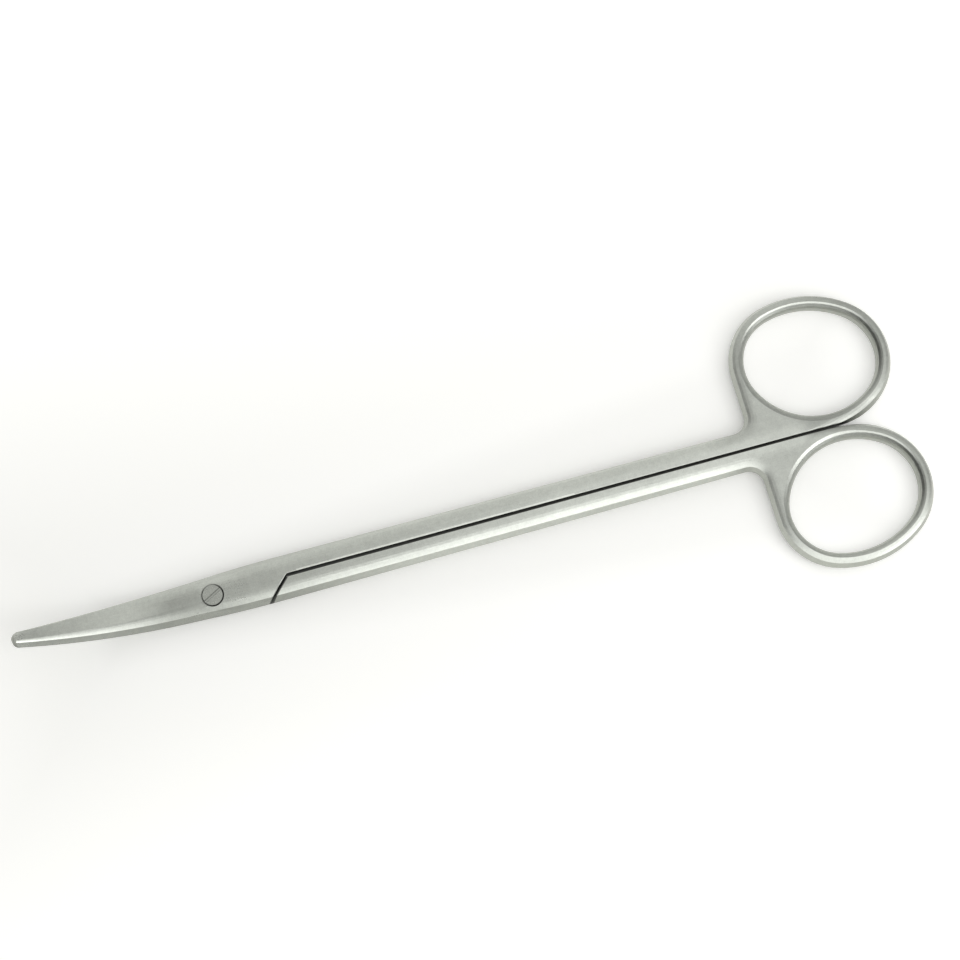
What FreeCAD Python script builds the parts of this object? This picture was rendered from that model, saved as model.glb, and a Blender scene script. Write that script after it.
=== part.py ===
# Curved dissecting scissors: two forged halves with finger rings, held by one flush slotted screw.
# The origin is on the screw's axis, at the flat underside. +X runs to the finger rings, +Y to the
# ring of the upper half, and +Z up, the way that the blades curve. All sizes are in millimetres.
import FreeCAD, Part
import math
import os

# Lengths from the screw's axis
blade_reach = 37.75           # to the blade tips, along X
handle_reach = 142.4          # to the far end of the finger rings
shoulder_x = 15.2             # to the corner where the slit meets the diagonal shoulder
flare_x = 12.0                # to the widest part of the joint

# Widths and heights of the forging
thickness = 4.0               # closed joint, shanks and rings
joint_half_width = 4.33       # centre line to the outer edge, at the widest part of the joint
root_half_width = 3.90        # the same at the root of the blades
shank_half_width = 3.95       # the same where the shank runs into its ring
slit_at_joint = 0.50          # gap between the closed shanks
slit_at_rings = 0.38

# Outer edge of the forging: an upright land, a steep side and a wide, softly crowned shoulder
edge_land = 0.5
steep_at_joint = 0.95
steep_at_rings = 0.60
soft_width = 2.20
soft_drop = 0.42
soft_steps = 4
slit_round = 0.20

# Finger ring: outer side of three arcs, and the bow between opening and slit
ring_end_radius = 12.9
ring_top_radius = 20.4
ring_back_radius = 12.6
ring_off_slit = 0.61          # how far the end arc would stay clear of the slit
end_to_top = 52.9             # degrees, where the end arc meets the top arc
top_to_back = 106.8           # degrees, where the top arc meets the back arc
ring_band = 2.9               # radial width of the ring
opening_back_radius = 9.6
web_under_opening = 2.7       # slit to the opening
crotch_radius = 3.0           # between the shank and the back of its ring
bow_lead = 1.2                # how far short of the end arc's centre the ring leaves the slit
bow_spread = 4.5              # and how much sooner for each millimetre up the edge

# Rounded edge of the opening
opening_land = 0.8
opening_bevel = 1.45
opening_arc = 65.0            # degrees through which the edge turns from land to face
opening_steps = 4

# Lap joint
lap_clearance = 0.15
shoulder_gap = 0.45
shoulder_run = 4.6            # how far the diagonal runs back along X from slit to outer edge
shoulder_corner = 0.8

# Blades
curve_start = 4.6             # distance from the screw's axis where the blades begin to curve
tip_rise = 10.0               # rise of the meeting faces at the tips
blade_stations = 9            # closest together at the root, where the curve begins
tip_half_width = 1.42
belly = 0.30                  # how far the blade's edges bow out from a straight taper
back_at_tip = 1.20            # thickness of the back at the tip
steep_at_tip = 0.75
soft_width_at_tip = 0.45
soft_drop_at_tip = 0.10
edge_thickness = 0.60         # of the cutting side, above its grind
edge_grind = 0.28
grind_run = 0.45              # share of the blade over which the cutting side is formed
tip_corner_radius = 1.05

# Screw
screw_head_radius = 2.05
screw_head_depth = 0.70
screw_cone_depth = 0.55
screw_neck_radius = 1.45
screw_thread_radius = 1.25
screw_play = 0.05             # radial, in the half that turns
thread_play = 0.02
screw_round = 0.08
slot_width = 0.45
slot_depth = 0.28
slot_angle = 28.0             # degrees from +X

mid = thickness / 2.0
beyond = 4.0 * thickness      # how far cutting bodies reach past the metal
root_x = -3.0                 # where the flat joint ends and the blades are lofted on


def point(x, y, z=0.0):
    return FreeCAD.Vector(x, y, z)


def polar(centre, radius, degrees):
    angle = math.radians(degrees)
    return point(centre.x + radius * math.cos(angle), centre.y + radius * math.sin(angle))


def heading(start, end):
    return math.degrees(math.atan2(end.y - start.y, end.x - start.x))


def lifted(vector, z):
    return point(vector.x, vector.y, z)


def line(start, end, z):
    return Part.makeLine(lifted(start, z), lifted(end, z))


def blend(a, b, share):
    return a + (b - a) * share


def arc(centre, radius, first, last, z):
    """An arc from the angle first to the angle last, in degrees, at the height z."""
    ends = [lifted(polar(centre, radius, a), z) for a in (first, (first + last) / 2.0, last)]
    return Part.Arc(*ends).toShape()


# The joint's outer edges are flat arcs, widest at flare_x.
flare_radius = (flare_x - root_x) ** 2 / (2.0 * (joint_half_width - root_half_width))


def joint_edge(x, inset):
    """Half width of the joint at x, measured to a line that lies inset inside the outer edge."""
    radius = flare_radius - inset
    return joint_half_width - flare_radius + math.sqrt(radius ** 2 - (x - flare_x) ** 2)


def edge_levels():
    """How far the outline lies inside its widest at the joint, at the ring and along the slit,
    for heights above the middle of the forging."""
    levels = [(0.0, 0.0, 0.0, edge_land / 2.0)]
    for step in range(soft_steps + 1):
        share = step / soft_steps
        width = soft_width * share
        height = mid - soft_drop * (1.0 - share) ** 2
        levels.append((steep_at_joint + width, steep_at_rings + width, slit_round * share ** 2, height))
    return levels


# Centres of the ring's arcs, each tangent to the next
end_centre = point(handle_reach - ring_end_radius,
                   slit_at_rings / 2.0 + ring_off_slit + ring_end_radius)
top_centre = polar(end_centre, ring_end_radius - ring_top_radius, end_to_top)
back_centre = polar(top_centre, ring_top_radius - ring_back_radius, top_to_back)
ring_wall_x = back_centre.x - ring_back_radius
crotch_centre = point(ring_wall_x - crotch_radius, shank_half_width + crotch_radius)


def shoulder(shift, y_slit, radius):
    """The diagonal shoulder, moved towards the rings by shift, and its round corner at the slit:
    the corner's centre, its ends on slit and diagonal, and the diagonal's direction."""
    along = point(-shoulder_run, -joint_half_width - slit_at_joint / 2.0).normalize()
    corner = point(shoulder_x, slit_at_joint / 2.0) + point(-along.y, along.x) * shift
    corner = corner + along * ((y_slit - corner.y) / along.y)
    reach = radius * math.tan(math.atan2(-along.y, -along.x) / 2.0)
    slit_end = corner + point(reach, 0)
    return slit_end - point(0, radius), slit_end, corner + along * reach, along


def plan_outline(joint_inset, ring_inset, slit_inset, z):
    """Closed outline of the upper half's joint, shank and ring at one height of its edge."""
    edges = []
    y_slit = slit_at_rings / 2.0 + slit_inset

    # Outer side: joint, shank and crotch
    joint_centre = point(flare_x, joint_half_width - flare_radius)
    joint_radius = flare_radius - joint_inset
    root = point(root_x, joint_edge(root_x, joint_inset))
    edges.append(line(point(root_x, -root.y), root, z))
    edges.append(arc(joint_centre, joint_radius, heading(joint_centre, root), 90.0, z))
    widest = point(flare_x, joint_half_width - joint_inset)
    crotch = crotch_radius + ring_inset
    reach = widest.distanceToPoint(crotch_centre)
    touch = heading(crotch_centre, widest) + math.degrees(math.acos(crotch / reach))
    edges.append(line(widest, polar(crotch_centre, crotch, touch), z))
    edges.append(arc(crotch_centre, crotch, touch, 360.0 if touch > 0 else 0.0, z))

    # Ring
    wall_x = ring_wall_x + ring_inset
    edges.append(line(point(wall_x, crotch_centre.y), point(wall_x, back_centre.y), z))
    edges.append(arc(back_centre, ring_back_radius - ring_inset, 180.0, top_to_back, z))
    edges.append(arc(top_centre, ring_top_radius - ring_inset, top_to_back, end_to_top, z))
    end_radius = ring_end_radius - ring_inset
    leave_x = end_centre.x - bow_lead - bow_spread * ring_inset
    drop = y_slit - end_centre.y
    bow = (end_radius ** 2 - (leave_x - end_centre.x) ** 2 - drop ** 2) / (2.0 * (drop + end_radius))
    bow_centre = point(leave_x, y_slit + bow)
    meet = heading(bow_centre, end_centre)
    edges.append(arc(end_centre, end_radius, end_to_top, meet, z))
    edges.append(arc(bow_centre, bow, meet, -90.0, z))

    # Slit, shoulder and the lap's lower edge
    centre, slit_end, diagonal_end, along = shoulder(
        -shoulder_gap / 2.0 - slit_inset, slit_at_joint / 2.0 + slit_inset,
        shoulder_corner + shoulder_gap + slit_inset)
    narrow = point(ring_wall_x, y_slit)
    edges.append(line(point(leave_x, y_slit), narrow, z))
    edges.append(line(narrow, slit_end, z))
    edges.append(arc(centre, slit_end.y - centre.y, 90.0, heading(centre, diagonal_end), z))
    low_centre = point(flare_x, -joint_centre.y)
    offset = diagonal_end - low_centre
    half = offset.dot(along)
    run = -half + math.sqrt(half ** 2 - offset.dot(offset) + joint_radius ** 2)
    lap_end = diagonal_end + along * run
    edges.append(line(diagonal_end, lap_end, z))
    root_angle = heading(low_centre, point(root_x, -root.y))
    edges.append(arc(low_centre, joint_radius, heading(low_centre, lap_end), root_angle, z))
    return Part.Wire(edges)


def opening_outline(growth, z):
    """Closed outline of the finger opening, growth wider all round than at mid height."""
    end = ring_end_radius - ring_band
    top = ring_top_radius - ring_band
    back = opening_back_radius
    centre = polar(top_centre, top - back, top_to_back)
    low = slit_at_rings / 2.0 + web_under_opening
    spare_end = end_centre.y - low - end
    spare_back = centre.y - low - back
    a = 1.0 / (2.0 * spare_end) - 1.0 / (2.0 * spare_back)
    b = centre.x / spare_back - end_centre.x / spare_end
    c = (end_centre.x ** 2 / (2.0 * spare_end) - centre.x ** 2 / (2.0 * spare_back)
         + (end_centre.y + end - centre.y - back) / 2.0)
    x = (-b - math.sqrt(b * b - 4.0 * a * c)) / (2.0 * a)
    y = (x - end_centre.x) ** 2 / (2.0 * spare_end) + (end_centre.y + low + end) / 2.0
    bottom_centre = point(x, y)
    bottom = y - low
    right = heading(bottom_centre, end_centre)
    left = heading(bottom_centre, centre)
    return Part.Wire([
        arc(end_centre, end + growth, right, end_to_top, z),
        arc(top_centre, top + growth, end_to_top, top_to_back, z),
        arc(centre, back + growth, top_to_back, 360.0 + left, z),
        arc(bottom_centre, bottom + growth, left, right, z),
    ])


def both_ways(levels):
    """Levels given from mid height upwards, as a full list from the bottom to the top."""
    return [(*level[:-1], -level[-1]) for level in reversed(levels)] + list(levels)


def finger_opening():
    """The opening with its rounded edges, which are the same on both faces."""
    land = opening_land / 2.0
    full = math.radians(opening_arc)
    levels = []
    for step in range(opening_steps + 1):
        turn = full * step / opening_steps
        growth = opening_bevel * (1.0 - math.cos(turn)) / (1.0 - math.cos(full))
        levels.append((growth, land + (mid - land) * math.sin(turn) / math.sin(full)))
    wires = [opening_outline(growth, mid + height) for growth, height in both_ways(levels)]
    return Part.makeLoft(wires, True, True)


def lap_clear():
    """What is taken off under the upper half's lap, up to its own shoulder."""
    centre, slit_end, diagonal_end, along = shoulder(
        shoulder_gap / 2.0, -slit_at_joint / 2.0, shoulder_corner)
    far = diagonal_end + along * (4.0 * joint_half_width)
    low, high = mid + lap_clearance / 2.0, -beyond
    outer = -2.0 * joint_half_width
    edges = [
        line(slit_end, point(slit_end.x, -outer), low),
        line(point(slit_end.x, -outer), point(root_x - 1.0, -outer), low),
        line(point(root_x - 1.0, -outer), point(root_x - 1.0, far.y), low),
        line(point(root_x - 1.0, far.y), far, low),
        line(far, diagonal_end, low),
        arc(centre, slit_end.y - centre.y, heading(centre, diagonal_end), 90.0, low),
    ]
    prism = Part.Face(Part.Wire(edges)).extrude(point(0, 0, high - low))
    return prism.mirror(point(0, 0, 0), point(0, 1, 0))


def handle():
    """Joint, shank and finger ring of the upper half, at full thickness behind the shoulder."""
    wires = [plan_outline(*insets, mid + height) for *insets, height in both_ways(edge_levels())]
    body = Part.makeLoft(wires, True, True)
    body = body.cut(finger_opening())
    return body.cut(lap_clear())


# The blades' meeting faces are one surface of revolution about the screw's axis, so that they
# stay clear of each other at every opening.
curve_length = blade_reach - curve_start
curve_radius = (curve_length ** 2 + tip_rise ** 2) / (2.0 * tip_rise)
tip_slope = math.degrees(math.asin(curve_length / curve_radius))


def rise(distance):
    """How far the meeting faces leave the middle of the joint, at a distance from the screw."""
    along = max(distance - curve_start, 0.0)
    return curve_radius - math.sqrt(curve_radius ** 2 - along ** 2)


def behind_meeting_face(way):
    """Everything below the meeting face of a half whose blade curves up (1) or down (-1)."""
    reach = blade_reach + 5.0
    low = mid + lap_clearance / 2.0
    curve = [point(x, 0, low + way * rise(x))
             for x in (curve_start, (curve_start + reach) / 2.0, reach)]
    rest = Part.makePolygon([curve[2], point(reach, 0, -2.0 * beyond), point(0, 0, -2.0 * beyond),
                             point(0, 0, low), curve[0]])
    section = Part.Face(Part.Wire([Part.Arc(*curve).toShape()] + rest.Edges))
    return section.revolve(point(0, 0, 0), point(0, 0, 1), 360)


def blade_half_width(x):
    share = (root_x - x) / (root_x + blade_reach)
    return blend(root_half_width, tip_half_width, share) + belly * 4.0 * share * (1.0 - share)


def blade_section(x, way):
    """Section of a blade across X: its cutting edge to +Y, its back to -Y."""
    share = (root_x - x) / (root_x + blade_reach)
    half = blade_half_width(x)
    back = blend(mid, back_at_tip, share)
    side = blend(steep_at_joint, steep_at_tip, share)
    soft = blend(soft_width, soft_width_at_tip, share)
    drop = blend(soft_drop, soft_drop_at_tip, share)

    # Back: the steep side and soft shoulder of the whole forging, getting finer to the tip
    spine = [(-half, edge_land / 2.0)]
    for step in range(soft_steps + 1):
        reach = step / soft_steps
        spine.append((-half + side + soft * reach, back - drop * (1.0 - reach) ** 2))

    # Cutting side: from the joint's rounded edge to a narrow grind under a flat outer face
    start = (half - edge_grind, edge_thickness)
    slope = (back - edge_thickness) / (start[0] - spine[-1][0])
    ground = [(half, edge_land / 2.0)]
    for step in range(soft_steps + 1):
        reach = step / soft_steps * soft
        ground.append((start[0] - reach, start[1] + slope * reach))
    joint = [(joint_edge(root_x, inset) - root_half_width + half, height)
             for inset, _, _, height in edge_levels()]
    formed = min(share / grind_run, 1.0)
    formed = formed * formed * (3.0 - 2.0 * formed)
    cutting = [(blend(a, c, formed), blend(b, d, formed))
               for (a, b), (c, d) in zip(joint, ground)]

    deep = -beyond / 4.0
    profile = [(half, deep)] + cutting + spine[::-1] + [(-half, deep)]
    lift = mid + way * rise(-x)
    return Part.makePolygon([point(x, y, lift + height) for y, height in profile + profile[:1]])


def tip_cutter(way):
    """What is taken off round the tip, square to the way the blade points there."""
    deep = 2.0 * beyond
    half = blade_half_width(tip_corner_radius - blade_reach)
    nose = Part.makeBox(beyond, 2.0 * half, 2.0 * deep, point(0, -half, -deep))
    corners = [edge for edge in nose.Edges
               if edge.BoundBox.XMax < 0.001 and edge.BoundBox.ZLength > deep]
    nose = nose.makeFillet(tip_corner_radius, corners)
    waste = Part.makeBox(beyond + tip_corner_radius, beyond, 2.0 * deep,
                         point(-beyond, -beyond / 2.0, -deep))
    cutter = waste.cut(nose)
    cutter.rotate(point(0, 0, 0), point(0, 1, 0), way * tip_slope)
    cutter.translate(point(-blade_reach, 0, mid + way * tip_rise))
    return cutter


def blade(way):
    """The blade of a half, from the flat joint to its tip."""
    past_tip = -blade_reach - 2.0
    stations = [blend(root_x, past_tip, (i / (blade_stations - 1)) ** 2)
                for i in range(blade_stations)]
    body = Part.makeLoft([blade_section(x, way) for x in stations], True, False)
    return body.cut(behind_meeting_face(way)).cut(tip_cutter(way))


def half(way):
    """A whole half, lying with its lap upwards and its blade curving up (1) or down (-1)."""
    return handle().fuse(blade(way)).removeSplitter()


def turning_hole():
    """Seat and bore for the screw in the upper half."""
    head = screw_head_radius + screw_play
    neck = screw_neck_radius + screw_play
    seat = thickness - screw_head_depth
    bottom = seat - screw_cone_depth
    return revolved([(0, beyond), (head, beyond), (head, seat), (neck, bottom), (neck, 0), (0, 0)])


def revolved(profile):
    """A body of revolution about the screw's axis, from a closed profile of (radius, height)."""
    wire = Part.makePolygon([point(radius, 0, z) for radius, z in profile + profile[:1]])
    return Part.Face(wire).revolve(point(0, 0, 0), point(0, 0, 1), 360)


def upper_half():
    return half(1).cut(turning_hole())


def lower_half():
    """The other half is the same forging turned over, with its blade curved the other way."""
    body = half(-1)
    body.rotate(point(0, 0, mid), point(1, 0, 0), 180)
    return body.cut(Part.makeCylinder(screw_thread_radius + thread_play, thickness))


def pivot_screw():
    """Countersunk shoulder screw, flush above and below, with a shallow slot across its head."""
    seat = thickness - screw_head_depth
    body = revolved([
        (0, 0), (screw_thread_radius, 0),
        (screw_thread_radius, mid - lap_clearance / 2.0),
        (screw_neck_radius, mid - lap_clearance / 2.0),
        (screw_neck_radius, seat - screw_cone_depth),
        (screw_head_radius, seat),
        (screw_head_radius, thickness - screw_round),
        (screw_head_radius - screw_round, thickness),
        (0, thickness)])
    slot = Part.makeBox(beyond, slot_width, slot_depth + beyond,
                        point(-beyond / 2.0, -slot_width / 2.0, thickness - slot_depth))
    slot.rotate(point(0, 0, 0), point(0, 0, 1), slot_angle)
    return body.cut(slot)


def main():
    os.makedirs("parts", exist_ok=True)
    upper_half().exportStep("parts/upper_half.step")
    lower_half().exportStep("parts/lower_half.step")
    pivot_screw().exportStep("parts/pivot_screw.step")


main()
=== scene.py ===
import math

import bpy
from mathutils import Euler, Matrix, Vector

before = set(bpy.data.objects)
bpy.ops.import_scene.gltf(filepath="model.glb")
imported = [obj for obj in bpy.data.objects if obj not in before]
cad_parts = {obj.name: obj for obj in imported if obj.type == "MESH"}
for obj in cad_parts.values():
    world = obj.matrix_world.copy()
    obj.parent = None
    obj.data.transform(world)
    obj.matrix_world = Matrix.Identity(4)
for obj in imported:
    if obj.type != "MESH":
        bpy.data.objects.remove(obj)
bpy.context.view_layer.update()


# Forged halves
# Upper and lower half are the same stainless forging, with a softly crowned outer edge. It is
# glass-beaded to an even satin, worn brighter along its ridges and darker on the rings. Painted
# shade greys the steep sides, the gaps, the place between the rings and the middle of the blades,
# and a painted highlight runs beside the slit.

class Wire:
    """One output of a shader node, which sums, masks and mixes can be written with."""

    def __init__(self, socket):
        self.socket = socket
        self.tree = socket.id_data

    def node(self, kind, settings=None, sockets=None, out=0):
        """Adds any node: its settings first, then the values or wires of its sockets."""
        made = self.tree.nodes.new("ShaderNode" + kind)
        for name, value in (settings or {}).items():
            if name == "stops":
                ramp = made.color_ramp.elements
                while len(ramp) < len(value):
                    ramp.new(1.0)
                for element, (position, *colour) in zip(ramp, value):
                    element.position = position
                    element.color = (*colour, 1.0)
            else:
                setattr(made, name, value)
        for name, value in (sockets or {}).items():
            if isinstance(value, Wire):
                self.tree.links.new(value.socket, made.inputs[name])
            else:
                made.inputs[name].default_value = value
        return Wire(made.outputs[out])

    def maths(self, operation, *values):
        return self.node("Math", {"operation": operation}, dict(enumerate(values)))

    def __add__(self, other):
        return self.maths("ADD", self, other)

    def __sub__(self, other):
        return self.maths("SUBTRACT", self, other)

    def __rsub__(self, other):
        return self.maths("SUBTRACT", other, self)

    def __mul__(self, other):
        return self.maths("MULTIPLY", self, other)

    def __abs__(self):
        return self.maths("ABSOLUTE", self)

    __radd__ = __add__
    __rmul__ = __mul__


def source(tree, kind, out):
    """The named output of a new node that needs nothing put in."""
    return Wire(tree.nodes.new("ShaderNode" + kind).outputs[out])


def axis(vector, letter):
    return vector.node("SeparateXYZ", None, {"Vector": vector}, letter)


def larger(first, second):
    return first.maths("MAXIMUM", first, second)


def smaller(first, second):
    return first.maths("MINIMUM", first, second)


def fade(wire, start, end, before, after, kind="SMOOTHSTEP"):
    """Goes from before to after, softly at both ends, while the wire goes from start to end."""
    return wire.node("MapRange", {"interpolation_type": kind}, {
        "Value": wire, "From Min": start, "From Max": end, "To Min": before, "To Max": after})


def mixed(mask, off, on):
    """The colour off where the mask is 0 and the colour on where it is 1."""
    return mask.node("MixRGB", None, {"Fac": mask, "Color1": off, "Color2": on})


def tinted(colour, layer):
    return colour.node("MixRGB", {"blend_type": "MULTIPLY"}, {
        "Fac": 1.0, "Color1": colour, "Color2": layer})


def off_line(spot, normal):
    """How far a spot lies from a line through the screw's axis, on the side of its normal."""
    return axis(spot, "X") * normal[0] + axis(spot, "Y") * normal[1]


def painted_steep_shade(spot, facing):
    """Painted shade, greyer where the surface is steep: most at the blades, less where it faces
    the far side.
    """
    white = (1.0, 1.0, 1.0, 1.0)
    share_of_length = axis(spot, "X") * 5.3 + 0.21
    side = spot.node("ValToRGB", {"stops": [
        (0.0, 0.42, 0.42, 0.41), (0.28, 0.42, 0.42, 0.41), (0.42, 0.88, 0.88, 0.87),
        (0.76, 0.88, 0.88, 0.87), (0.86, 0.80, 0.80, 0.78)]}, {"Fac": share_of_length})
    to_far_side = fade(axis(facing, "Y"), 0.10, 0.60, 0.0, 0.62, "LINEAR")
    level = fade(abs(axis(facing, "Z")), 0.45, 0.90, 0.0, 1.0)
    return mixed(level, mixed(to_far_side, side, white), white)


def painted_gap_shade(spot, clouds):
    """Painted shade in the narrow gaps: dark lines in the slit, at the shoulder, round the
    screw's head, most on the ring side, and along both edges of its slot."""
    x, y = axis(spot, "X"), axis(spot, "Y")
    slit_start = 0.0152
    slit = larger(abs(y), slit_start - x)
    shoulder_normal, shoulder_distance = (0.7055, -0.7087), 0.010547
    shoulder = larger(abs(off_line(spot, shoulder_normal) - shoulder_distance), y)
    dark_width, unshaded_width = 0.00026, 0.00040
    # painted shade in the slit and at the shoulder
    gap = fade(smaller(slit, shoulder), dark_width, unshaded_width, 0.26, 1.0)

    flat = spot.node("VectorMath", {"operation": "MULTIPLY"}, {0: spot, 1: (1.0, 1.0, 0.0)})
    radius = spot.node("VectorMath", {"operation": "LENGTH"}, {0: flat}, "Value")
    seat_radius, broken = 0.00210, 0.0001
    # painted shade in the gap round the screw's head, deeper on the ring side
    rim_darkness = fade(x - y, -0.0024, 0.0020, 0.60, 0.02, "LINEAR")
    rim = fade(abs(radius - seat_radius) + clouds * broken, 0.00011, 0.00026, rim_darkness, 1.0)

    # painted shade along the edges of the screw's slot
    slot_normal, slot_half_width, slot_end = (-0.4695, 0.8829), 0.000225, 0.00205
    slot_edge = abs(abs(off_line(spot, slot_normal)) - slot_half_width)
    slot = fade(larger(slot_edge, radius - slot_end), 0.00002, 0.00012, 0.55, 1.0)
    return gap * rim * slot


def ring_tone_and_painted_light(spot, facing):
    """Darker on the rings, with painted shade between them and along the level middle of the
    blades, and a painted highlight on a narrow line beside the slit."""
    x, y = axis(spot, "X"), axis(spot, "Y")
    rings_start, ring_fade = 0.100, 0.008
    rings = smaller(x - rings_start, abs(y) * 4.0 - 0.004)
    rings = fade(rings, 0.0, ring_fade, 1.0, 0.83)

    # painted shade between the rings
    web_middle, web_start = 0.0006, 0.0625
    between = larger(abs(y - web_middle), web_start - x * 0.5)
    between = fade(between, 0.0008, 0.0032, 0.66, 1.0)

    # painted highlight on a narrow line beside the slit
    highlight_line, shank_middle, shank_half_length = 0.00055, 0.045, 0.028
    slit_highlight = larger(abs(y - highlight_line), abs(x - shank_middle) - shank_half_length)
    slit_highlight = fade(slit_highlight, 0.00008, 0.00022, 1.35, 1.0)

    # painted shade along the level middle of the blades, only where the surface is level
    blade_middle, blade_half_length, blade_fade = -0.0155, 0.004, 0.008
    tilt = abs(axis(facing, "Y")) * 0.04
    blade = larger(abs(x - blade_middle) - blade_half_length, tilt)
    blade = fade(blade, 0.0, blade_fade, 0.84, 1.0)
    return rings * between * slit_highlight * blade


def satin_steel(name, colour, roughness, seed):
    """Stainless steel with a beaded satin: fine grain, faint clouds, strokes along its length and
    brighter ridges, then painted shade, darker rings and a painted highlight."""
    material = bpy.data.materials.new(name)
    material.use_nodes = True
    tree = material.node_tree
    spot = source(tree, "TexCoord", "Object")
    facing = source(tree, "TexCoord", "Normal")

    place = spot.node("VectorMath", {"operation": "ADD"}, {0: spot, 1: (seed, seed, 0.0)})
    drawn = spot.node("Mapping", None, {"Vector": place, "Scale": (60.0, 2600.0, 2600.0)})
    grain, mottle, clouds, strokes = (
        spot.node("TexNoise", None, {"Vector": vector, "Scale": scale, "Detail": detail})
        for vector, scale, detail in (
            (place, 4200.0, 2.0), (place, 1100.0, 3.0), (place, 120.0, 2.0), (drawn, 1.0, 2.0)))
    ridges = fade(source(tree, "NewGeometry", "Pointiness"), 0.505, 0.56, 0.0, 1.0, "LINEAR")

    tone = (mottle - 0.5) * 0.60 + (clouds - 0.5) * 0.40 + (grain - 0.5) * 0.80
    tone = tone + (strokes - 0.5) * 0.35 + ridges * 0.2
    darker = [channel * 0.80 for channel in colour]
    lighter = [min(channel * 1.20, 1.0) for channel in colour]
    base = mixed(tone + 0.5, (*darker, 1.0), (*lighter, 1.0))
    # painted shade on the steep sides
    base = tinted(base, painted_steep_shade(spot, facing))
    # painted shade in the gaps
    base = tinted(base, painted_gap_shade(spot, clouds))
    # darker rings, painted shade and a painted highlight
    base = tinted(base, ring_tone_and_painted_light(spot, facing))
    rough = (grain - 0.5) * 0.16 + (strokes - 0.5) * 0.12 + roughness - ridges * 0.08
    height = grain * 0.6 + mottle * 0.25 + strokes * 0.3
    bump = spot.node("Bump", None, {"Strength": 0.35, "Distance": 0.00002, "Height": height})

    shader = tree.nodes["Principled BSDF"]
    shader.inputs["Metallic"].default_value = 1.0
    for socket, wire in (("Base Color", base), ("Roughness", rough), ("Normal", bump)):
        tree.links.new(wire.socket, shader.inputs[socket])
    return material


def dress(node, material):
    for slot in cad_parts[node].material_slots:
        slot.material = material


forging = satin_steel("forged_satin", (0.600, 0.622, 0.578), 0.37, 0.0)
dress("upper_half", forging)
dress("lower_half", forging)


# Pivot screw
# A turned, slotted screw, set flush into the upper half and ground off flush underneath. Its
# head carries the same satin, a touch smoother from turning.

dress("pivot_screw", satin_steel("turned_satin", (0.590, 0.610, 0.568), 0.33, 0.013))


# Table and room
# Seamless white paper, whose glow carries a painted shadow: a soft grey around the instrument and
# paler away from it. The room is white along the horizon, dim just above it, brightest at mid
# height and towards the far side, and darker at both ends, where the steel then shows its darker
# bevels.

table_size = 6.0
bpy.ops.mesh.primitive_plane_add(size=table_size, location=(0.05, 0.0, 0.0))
table = bpy.context.object
table.name = "table"
paper = bpy.data.materials.new("pale_paper")
paper.use_nodes = True
paper_shader = paper.node_tree.nodes["Principled BSDF"]
for socket, value in (
        ("Base Color", (0.88, 0.88, 0.865, 1.0)), ("Roughness", 0.9),
        ("Specular IOR Level", 0.1), ("Emission Strength", 1.0)):
    paper_shader.inputs[socket].default_value = value

rays = paper.node_tree.nodes.new("ShaderNodeLightPath").outputs
seen = (Wire(rays["Is Camera Ray"]) + Wire(rays["Is Glossy Ray"])
        + Wire(rays["Is Transmission Ray"]))
paper_spot = source(paper.node_tree, "TexCoord", "Object")
along, beside = axis(paper_spot, "X"), axis(paper_spot, "Y")
to_rings, to_blades = 0.060, 0.066
away = larger(larger(abs(beside), along - to_rings), -to_blades - along)
# painted shadow: the paper's glow is greyer near the instrument and paler away from it
glow_with_painted_shadow = away.node("ValToRGB", {"stops": [
    (0.0, 0.20, 0.20, 0.195), (0.05, 0.235, 0.235, 0.23), (0.10, 0.25, 0.25, 0.245),
    (0.16, 0.315, 0.315, 0.31), (0.28, 0.34, 0.34, 0.33), (0.70, 0.48, 0.48, 0.47),
    (1.0, 0.55, 0.55, 0.54)]}, {"Fac": away * 10.0 - along})
paper_glow = mixed(seen, (0.0, 0.0, 0.0, 1.0), glow_with_painted_shadow)
paper.node_tree.links.new(paper_glow.socket, paper_shader.inputs["Emission Color"])
table.data.materials.append(paper)

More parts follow.
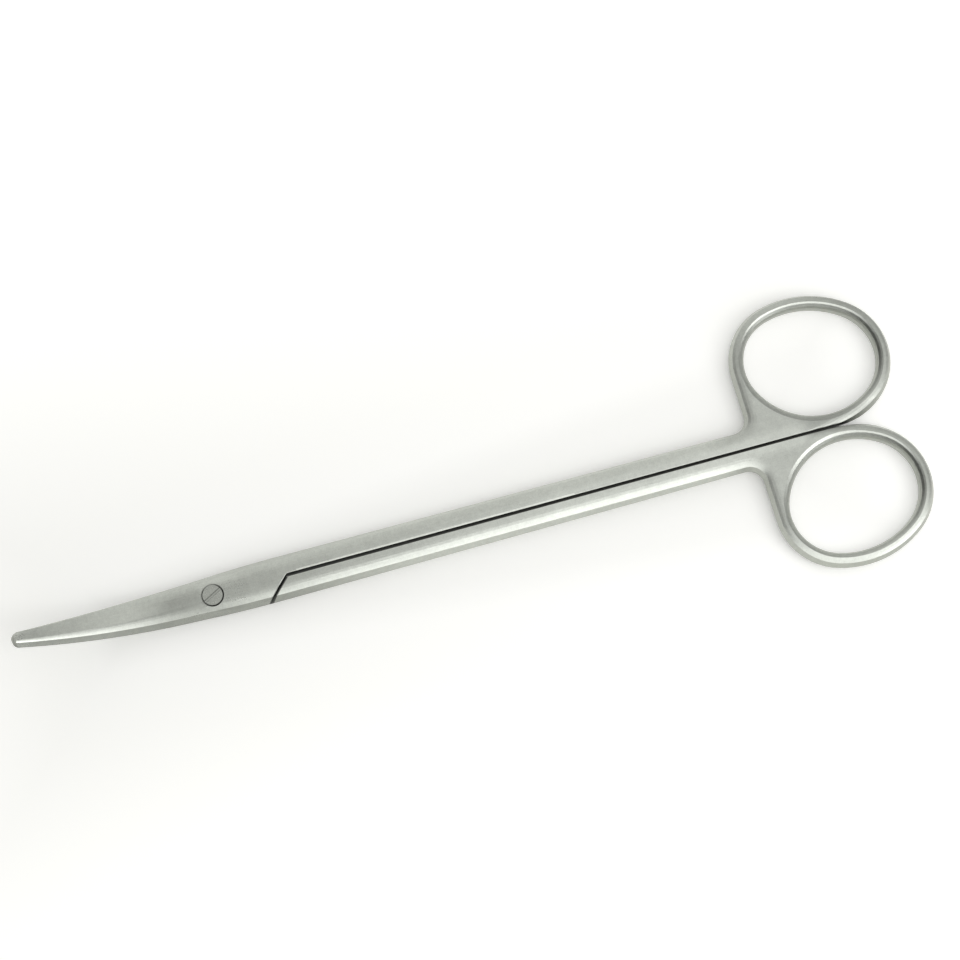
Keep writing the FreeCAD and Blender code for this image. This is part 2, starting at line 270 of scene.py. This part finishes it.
world = bpy.data.worlds.new("pale_room")
bpy.context.scene.world = world
world.use_nodes = True
way = source(world.node_tree, "TexCoord", "Generated")
up = axis(way, "Z")
walls = up.node("ValToRGB", {"stops": [
    (0.0, 0.14, 0.14, 0.135), (0.30, 0.44, 0.44, 0.43), (0.66, 0.76, 0.76, 0.74),
    (0.97, 0.53, 0.53, 0.515), (1.0, 0.43, 0.43, 0.42)]}, {"Fac": up})
ends = way.node("ValToRGB", {"stops": [
    (0.10, 0.07, 0.07, 0.07), (0.43, 1.0, 1.0, 1.0), (0.62, 1.0, 1.0, 1.0),
    (0.76, 0.68, 0.68, 0.68), (0.90, 0.85, 0.85, 0.85), (0.99, 0.30, 0.30, 0.30)]},
    {"Fac": axis(way, "X") * 0.5 + 0.5})
far_side = way.node("ValToRGB", {"stops": [
    (0.66, 0.96, 0.96, 0.96), (0.88, 1.28, 1.28, 1.28)]}, {"Fac": axis(way, "Y") * 0.5 + 0.5})
horizon = fade(up, 0.10, 0.19, 1.0, 0.0, "LINEAR")
room = mixed(horizon, tinted(tinted(walls, ends), far_side), (1.0, 1.0, 0.985, 1.0))
world.node_tree.links.new(room.socket, world.node_tree.nodes["Background"].inputs["Color"])


# Studio light
# A long soft box stands close by at the near side, over the shanks and rings, and a broad weak
# one hangs above them. A third, farther off beyond the rings, throws the shadows up and left.

def soft_box(name, place, aim, width, height, watts):
    lamp = bpy.data.lights.new(name, "AREA")
    lamp.shape = "RECTANGLE"
    lamp.size, lamp.size_y = width, height
    lamp.energy = watts
    holder = bpy.data.objects.new(name, lamp)
    holder.location = place
    holder.rotation_euler = (Vector(aim) - Vector(place)).to_track_quat("-Z", "Y").to_euler()
    holder.visible_camera = False
    bpy.context.scene.collection.objects.link(holder)


soft_box("near_box", (0.170, -0.088, 0.20), (0.170, 0.0, 0.0), 0.33, 0.13, 0.175)
soft_box("side_box", (0.40, -0.30, 0.30), (0.12, 0.0, 0.0), 0.25, 0.25, 0.40)
soft_box("top_box", (0.205, 0.050, 0.24), (0.205, 0.0, 0.0), 0.31, 0.16, 0.065)


# Camera
# It stands nearly above the shanks, at the photograph's viewing angle, with a long lens that
# gives the instrument the photograph's slight perspective.

camera = bpy.data.objects.new("camera", bpy.data.cameras.new("camera"))
camera.data.sensor_width = 36.0
camera.data.lens = 82.5
camera.location = (0.02404, -0.08440, 0.42414)
camera.rotation_euler = Euler([math.radians(a) for a in (13.095, -0.782, -15.721)])
bpy.context.scene.collection.objects.link(camera)
bpy.context.scene.camera = camera
bpy.context.scene.view_settings.view_transform = "Standard"
